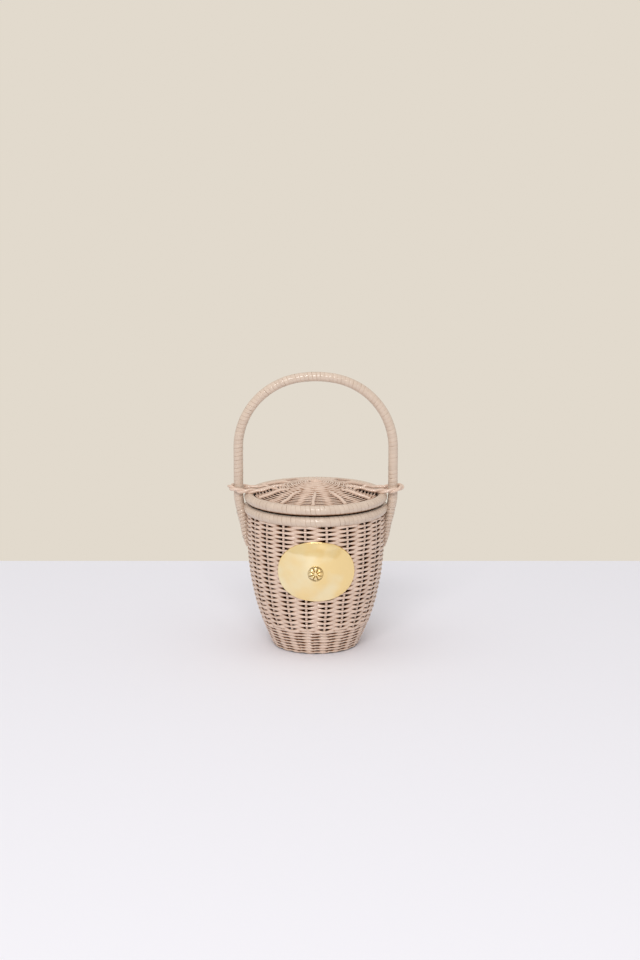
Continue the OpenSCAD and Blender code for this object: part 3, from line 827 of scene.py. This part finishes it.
# Lid
LID_EDGE_R = HOOP_RING - HOOP_TUBE + 1.2 * MM
LID_EDGE_Z = HOOP_Z + LID_EDGE_UP
LID_FACE = 3.4 * MM
LID_BULGE = 1.5 * MM
LID_CORE = 0.8 * MM
SPOKE_LIFT = 1.8 * MM
SPOKE_SINK = 2.2 * MM
FIRST_RIB = radians(-92)
RIB_FADE = 24 * MM
RIB_REACH = 18 * MM
COIL_IN, COIL_OUT = 0.6 * MM, 7.2 * MM
COIL_TURNS = 3.5
COIL_UP = 1.6 * MM
COIL_DROP = 0.8 * MM


def smooth_step(value):
    """0 below 0 and 1 above 1, eased between them."""
    t = min(max(value, 0), 1)
    return t * t * (3 - 2 * t)


def lid_surface(r):
    """Height of the lid at a radius: a cone that bulges most at a third of the way out."""
    t = r / LID_EDGE_R
    bulge = t * (1 - t) ** 2 * 27 / 4
    return LID_EDGE_Z + LID_RISE * (1 - t) + LID_BULGE * bulge


def make_lid():
    """Weave on ribs that stand out near the hoop, with a coiled button on top."""
    steps = 24
    radii = [LID_EDGE_R + (BUTTON_R - LID_EDGE_R) * i / steps for i in range(steps + 1)]
    profile = [(r, 0, lid_surface(r) + LID_CORE) for r in radii]
    ribs = []
    for r, y, z in profile:
        lift = (SPOKE_LIFT + SPOKE_SINK) * smooth_step((r - RIB_FADE) / RIB_REACH)
        ribs.append((r, y, z - SPOKE_SINK + lift))
    shared = {"Posts": SPOKES, "First Post": FIRST_RIB, "Sides": 8, "Sway": 0.16}
    rows = grow("lid_weavers", path_object("lid_profile", profile), rows_tree, {
        **PLAIN_ROWS, **shared, "Rows": 29, "Steps": 16, "Start": 0.03, "Crowding": -0.25,
        "Swing": 1.6 * MM, "Settle": 48 * MM, "Depth": 1.7 * MM, "Height": 1.15 * MM,
        "Fill": 0.55, "Tight": 0.9, "Behind": 0.6, "Under": 0.5, "Ragged": 0.35,
        "Thicken": 0.2, "Shaded Below": -0.03 * MM, "Unshaded Above": 0.75 * MM, "Wander": 0.9 * MM,
        "Seed": 31}, wicker_finish)
    settle(rows, "lid", "wicker", "lid_weave")
    spokes = grow("lid_spokes", path_object("lid_spoke", ribs), stakes_tree, {
        **PLAIN_POSTS, **shared, "Steps": 24, "Thickness": 3.5 * MM, "Shaded Below": -2.4 * MM,
        "Unshaded Above": -1.8 * MM, "Wander": 0.3 * MM, "Seed": 32}, wicker_finish)
    settle(spokes, "lid", "wicker")
    coil = []
    count = 120
    for i in range(count + 1):
        share = i / count
        r = COIL_IN + (COIL_OUT - COIL_IN) * share
        a = TURN * COIL_TURNS * share
        z = lid_surface(r) + COIL_UP - COIL_DROP * share ** 3
        coil.append((r * cos(a), r * sin(a), z))
    button = grow("lid_button", path_object("lid_coil", coil), reed_tree, {
        "Sides": 10, "Depth": 2.1 * MM, "Height": 2.2 * MM, "Tone": 0.7}, wicker_finish)
    settle(button, "lid", "wicker")


# Handle
ROD_R = LEG_R - STRIP_T - 0.1 * MM
WRAP_INSET = 0.12 * MM
FOOT_TIP_R = 0.8 * MM
FOOT_TAPER = 0.75
FOOT_TOP = WALL_H - 2 * MM
FOOT_STEPS = 28
LEAN_LOW = WALL_H - 14 * MM
LEAN_HIGH = HOOP_Z + 3 * MM
LASH_LEDGE = 0.4 * MM
LASH_FULL = 9
LASH_OVER = 20


def leg_out(z, r):
    """Distance from the axis to the middle of a leg, which leans in to lie on the wall below."""
    on_the_wall = wall_radius(z) + r
    lean = smooth_step((z - LEAN_LOW) / (LEAN_HIGH - LEAN_LOW))
    return on_the_wall + (LEG_X - on_the_wall) * lean


def arch_path():
    """Centre line of the wrapped handle, from the right leg over the crown to the left leg."""
    leg_steps, shoulder_steps, crown_steps = 24, 48, 8
    inset = CROWN_DROP + CROWN_DROP ** 2 / (2 * CROWN_FLAT)
    shoulder = LEG_X - inset
    crown = LEG_X + CROWN_FLAT
    spring = wrap_high.z - LEG_R - LEG_X + CROWN_DROP
    crown_z = spring + LEG_X - CROWN_DROP - crown
    half = asin(inset / (crown - shoulder))
    heights = [wrap_low.z + (spring - wrap_low.z) * i / leg_steps for i in range(leg_steps)]
    path = [(leg_out(z, ROD_R), 0, z) for z in heights]
    for i in range(shoulder_steps + 1):
        a = (pi / 2 - half) * i / shoulder_steps
        path.append((inset + shoulder * cos(a), 0, spring + shoulder * sin(a)))
    for i in range(1, crown_steps + 1):
        a = pi / 2 - half + half * i / crown_steps
        path.append((crown * cos(a), 0, crown_z + crown * sin(a)))
    return path + [(-x, y, z) for x, y, z in reversed(path[:-1])]


def foot_line(side):
    """Centre line and radii of a foot, from its tip on the wall up to the rim."""
    tip = rod_low.z
    points, radii = [], []
    for i in range(FOOT_STEPS + 1):
        z = tip + (wrap_low.z - tip) * i / FOOT_STEPS
        r = FOOT_TIP_R + (ROD_R - FOOT_TIP_R) * min((z - tip) / (FOOT_TOP - tip), 1) ** FOOT_TAPER
        points.append((side * leg_out(z, r), 0, z))
        radii.append(r)
    return points, radii


def make_handle():
    """Bent rod from foot to foot, and the strip that is wound round its arch."""
    path = arch_path()
    start = path_object("handle_wrap_path", path, False, [LEG_R - WRAP_INSET] * len(path))
    piece = grow("wrapped_handle", start, strip_tree, {
        **PLAIN_STRIP, "Turns": round(path_length(path) / STRIP_W), "Crown": 0.07 * MM,
        "Shingle": 0.06 * MM, "Seed": 41}, cane_finish)
    settle(piece, "basket", "cane_strip", "handle_wrap")
    right, radii = foot_line(1)
    left, _ = foot_line(-1)
    line = right + path + left[::-1]
    start = path_object("rod_path", line, False, radii + [ROD_R] * len(path) + radii[::-1])
    rod = grow("bent_rod", start, reed_tree, {
        "Sides": 16, "Depth": 2.0, "Height": 2.0, "Tone": 0.5}, wicker_finish)
    settle(rod, "basket", "wicker", "handle_rod")


def make_lashing(side, node):
    """Strip that ties a foot to the wall, thin at the tip and tucked in under the rim."""
    points, radii = foot_line(side)
    lashed = []
    for i, r in enumerate(radii):
        tuck = LASH_LEDGE * max(i - LASH_OVER, 0) / (FOOT_STEPS - LASH_OVER)
        lashed.append(r + STRIP_T * min(i / LASH_FULL, 1) - tuck)
    bands = grow(node + "_bands", path_object(node, points, False, lashed), strip_tree, {
        **PLAIN_STRIP, "Turns": 11, "Steps": 8, "Crown": 0.28 * MM, "Seam": 0.5 * MM,
        "Shingle": 0.25 * MM, "Wobble": 0.3 * MM, "Seed": 51 + side}, lashing_finish)
    settle(bands, "basket", "cane_strip", node)


# Loops
LOOP_TILT = 2.2 * MM
LOOP_INSET = STRAND_D * 0.9
STRAND_SPREAD = STRAND_D * 0.42
TAIL_WIDE, TAIL_TAPER = 0.97, 0.2
TAIL_FROM = 62 * MM
TAIL_ENDS = ((-1, 38 * MM), (1, 46 * MM))
TAIL_KNOTS = ((0.35, 1.2 * MM), (0.7, 1.2 * MM), (1, -2.0 * MM))


def make_loop(side, node):
    """Twisted loop round a leg, with two tails that lie on the lid and end in its weave."""
    middle = (loop_low + loop_high) / 2
    half_l = (loop_high.x - loop_low.x) / 2 - LOOP_INSET
    half_w = (loop_high.y - loop_low.y) / 2 - LOOP_INSET
    steps = 8
    bend = []
    for i in range(steps + 1):
        a = -pi / 2 + pi * i / steps
        out = cos(a)
        bend.append((middle.x + half_l * out, half_w * sin(a), middle.z + LOOP_TILT * out))
    tails = []
    for end, reach in TAIL_ENDS:
        tail = [(TAIL_FROM, half_w * TAIL_WIDE * end, middle.z)]
        for share, lift in TAIL_KNOTS:
            x = TAIL_FROM + (reach - TAIL_FROM) * share
            y = half_w * (TAIL_WIDE - TAIL_TAPER * share) * end
            tail.append((x, y, lid_surface(hypot(x, y)) + LID_FACE + lift))
        tails.append(tail)
    corners = tails[0][::-1] + bend + tails[1]
    path = smooth_path([(side * x, y, z) for x, y, z in corners], 8)
    piece = grow(node + "_twist", path_object(node, path), cord_tree, {
        "Twists": 2.5, "Tail": 0.22, "Steps": 160, "Sides": 12, "Strand": STRAND_D,
        "Spread": STRAND_SPREAD, "Wander": 0.2}, wicker_finish)
    settle(piece, "lid", "cane_strip", node)


# Gold plate
PLATE_T = 1.4 * MM
PLATE_DOME, DOME_POWER = 4.5 * MM, 1.4
PLATE_ROUND = PLATE_T * 0.8
PLATE_DENT = 0.9 * MM
DENTS_X, DENTS_Z, DENTS_LAYER = 3, 2.6, 5.0
PLATE_BEVEL = 0.985
PLATE_W = (plate_high.x - plate_low.x) / 2
PLATE_H = (plate_high.z - plate_low.z) / 2
BOSS_R = 8 * MM
BOSS_RISE = 2.3 * MM
BOSS_FALL = 0.15 * MM
HOLLOW_BELOW = 0.6


def on_wall(x, z, out):
    """Point in front of the wall, at a distance out from its face."""
    r = wall_radius(z) + out
    return (x, -sqrt(r * r - x * x), z)


def plate_back(share):
    """Distance from the wall to the plate's back, at a share of the way to its edge."""
    return SEAT + PLATE_DOME * (1 - share ** DOME_POWER)


def make_plate():
    """Domed oval plate, a little uneven in outline and face, with a rounded edge."""
    around, rings, lip = 160, 40, 5

    def spot(share, a, out):
        uneven = (0.012 + 0.012 * cos(a) + 0.008 * (sin(a) - sin(3 * a))
            - 0.014 * cos(4 * a))
        reach = share * (1 + uneven * share)
        return on_wall(reach * PLATE_W * cos(a), PLATE_Z + reach * PLATE_H * sin(a), out)

    def front(share, a):
        x, z = share * DENTS_X * cos(a), share * DENTS_Z * sin(a)
        dent = noise.noise((x, z, DENTS_LAYER))
        rounding = max(0, (share - PLATE_BEVEL) / (1 - PLATE_BEVEL))
        edge = PLATE_ROUND * (1 - sqrt(1 - rounding ** 2))
        return plate_back(share) + PLATE_T + PLATE_DENT * dent - edge

    angles = [TURN * j / around for j in range(around)]
    shares = [(i + 0.3) / rings * PLATE_BEVEL for i in range(rings)]
    for i in range(lip + 1):
        shares.append(PLATE_BEVEL + (1 - PLATE_BEVEL) * sin(pi / 2 * i / lip))
    sections = [[spot(s, a, front(s, a)) for a in angles] for s in shares]
    for s in (1, 0.8, 0.6, 0.4, 0.2, 0.02):
        sections.append([spot(s, a, plate_back(s)) for a in angles])
    piece = mesh_from_rings("gold_plate", sections, gold_finish)
    settle(piece, "basket", "gold_plate", "medallion")


def make_rosette():
    """Petalled boss with a bead in its middle and a beaded border."""
    around, rings, petals, beads = 192, 40, 8, 28
    bead_r, petal_r, border_r = 0.22, 0.82, 0.98

    def lift(share, a):
        if share < bead_r:
            return 0.75 + 0.25 * sqrt(1 - (share / bead_r) ** 2)
        if share < petal_r:
            t = (share - bead_r) / (petal_r - bead_r)
            across = abs(cos(petals / 2 * a))
            crease = 0.16 * exp(-((1 - across) / 0.03) ** 2)
            return (across ** 0.55 - crease) * (0.35 + 0.55 * sin(pi * (0.1 + 0.8 * t)))
        t = (share - petal_r) / (1 - petal_r) * 2 - 1
        return 0.45 * abs(sin(beads / 2 * a)) ** 0.6 * sqrt(max(0, 1 - t * t))

    def spot(share, a, out):
        r = share * BOSS_R
        return on_wall(r * cos(a), PLATE_Z + r * sin(a), out)

    angles = [TURN * j / around for j in range(around)]
    sections = []
    hollows = []
    for i in range(rings + 1):
        share = max(i, 0.2) / rings
        base = plate_back(share * BOSS_R / PLATE_W) + PLATE_T - BOSS_FALL * share
        heights = [lift(share, a) for a in angles]
        sections.append([spot(share, a, base + BOSS_RISE * h) for a, h in zip(angles, heights)])
        # Painted shade: points that lie low between petals and beads are painted darker brown
        hollows += [max(0, 1 - h / HOLLOW_BELOW) if share < border_r else 0 for h in heights]
    sections.append([spot(1, a, SEAT + PLATE_DOME) for a in angles])
    hollows += [0] * around
    piece = mesh_from_rings("rosette", sections, gold_finish)
    piece.data.attributes.new("hollow", "FLOAT", "POINT").data.foreach_set("value", hollows)
    settle(piece, "basket", "gold_plate")


# Stage
FLOOR_HALF = 12
FLOOR_COLOUR = (0.875, 0.865, 0.915, 1)
TABLE_EDGE = 0.335
BACKDROP = (0.76, 0.70, 0.61, 1)
AMBIENT = (1, 0.985, 0.97, 1)
AMBIENT_POWER = 0.6
CAMERA_AT = (0.0043, -2.3515, 0.6863)
CAMERA_DOWN = radians(12.4)
LENS, SENSOR = 90, 36


def join_shaders(bench, share, first, second, output):
    """Sends a mix of two shaders to an output node."""
    blend = bench.node("ShaderNodeMixShader")
    bench.put(blend.inputs[0], share)
    bench.tree.links.new(first.outputs[0], blend.inputs[1])
    bench.tree.links.new(second.outputs[0], blend.inputs[2])
    bench.tree.links.new(blend.outputs[0], bench.tree.nodes[output].inputs[0])


def make_floor():
    """Pale table, which gives way to the plain backdrop behind its far edge."""
    corners = ((-1, -1), (1, -1), (1, 1), (-1, 1))
    mesh = bpy.data.meshes.new("floor")
    spots = [(x * FLOOR_HALF, y * FLOOR_HALF, 0) for x, y in corners]
    mesh.from_pydata(spots, [], [(0, 1, 2, 3)])
    floor = add_object("floor", mesh)
    material, bench, shader = new_material("table_and_backdrop")
    spot = bench.parts(bench.out("ShaderNodeTexCoord", output="Object"))
    behind = bench.math("GREATER_THAN", spot[1], TABLE_EDGE)
    shader.inputs["Roughness"].default_value = 0.7
    shader.inputs["Specular IOR Level"].default_value = 0.2
    shader.inputs["Base Color"].default_value = FLOOR_COLOUR
    paper = bench.node("ShaderNodeEmission", {"Color": BACKDROP, "Strength": 1.0})
    join_shaders(bench, behind, shader, paper, "Material Output")
    floor.data.materials.append(material)


def make_world():
    """Soft light from all round; the camera and reflections see the backdrop instead."""
    world = bpy.data.worlds.new("studio")
    bpy.context.scene.world = world
    world.use_nodes = True
    bench = Bench(world.node_tree)
    path = bench.node("ShaderNodeLightPath")
    camera, glossy, through = [
        Wire(bench, path.outputs[k])
        for k in ("Is Camera Ray", "Is Glossy Ray", "Is Transmission Ray")]
    seen = bench.math("MAXIMUM", bench.math("MAXIMUM", camera, glossy), through)
    light = world.node_tree.nodes["Background"]
    light.inputs["Color"].default_value = AMBIENT
    light.inputs["Strength"].default_value = AMBIENT_POWER
    backdrop = bench.node("ShaderNodeBackground", {"Color": BACKDROP, "Strength": 1.0})
    join_shaders(bench, seen, light, backdrop, "World Output")


def make_lamp(name, place, aim, size, power):
    """Rectangular softbox that faces a point."""
    lamp = bpy.data.lights.new(name, "AREA")
    lamp.shape = "RECTANGLE"
    lamp.size, lamp.size_y = size
    lamp.energy = power
    made = add_object(name, lamp)
    made.location = place
    made.rotation_euler = (Vector(aim) - Vector(place)).to_track_quat("-Z", "Y").to_euler()


def make_camera():
    """The photograph's view, from a little above the lid."""
    data = bpy.data.cameras.new("camera")
    data.lens = LENS
    data.sensor_width = SENSOR
    made = add_object("camera", data)
    made.location = CAMERA_AT
    made.rotation_euler = (pi / 2 - CAMERA_DOWN, 0, 0)
    bpy.context.scene.camera = made


make_camera()
make_floor()
make_world()
make_lamp("overhead_softbox", place=(-0.3, -0.2, 2.6), aim=(0, 0, 0.1), size=(2.2, 2.0), power=11)
make_lamp("front_softbox", place=(-0.36, -3.6, 2.65), aim=(0, 0, 0.15), size=(1.9, 1.15), power=77)
make_bucket()
make_base()
# Only the lid hoop gets painted shade underneath, where it sits over the rim
make_hoop("rim_wrap", "rim_binding", "basket", RIM_RING, RIM_TUBE + RIM_SWELL,
    RIM_Z - RIM_DOWN, 0.0, 61)
make_hoop("lid_wrap", "lid_binding", "lid", HOOP_RING, HOOP_TUBE, HOOP_Z + HOOP_UP, 1.0, 62)
make_lid()
make_handle()
for side, name in ((-1, "left"), (1, "right")):
    make_lashing(side, name + "_lashing")
    make_loop(side, name + "_loop")
make_plate()
make_rosette()

for name in ("rim_hoop", "lid_hoop", "medallion_studs", "medallion_nuts"):
    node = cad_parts[name]
    node.data.materials.clear()
    node.data.materials.append(wicker_finish if name.endswith("hoop") else gold_finish)

bpy.context.scene.view_settings.view_transform = "Standard"
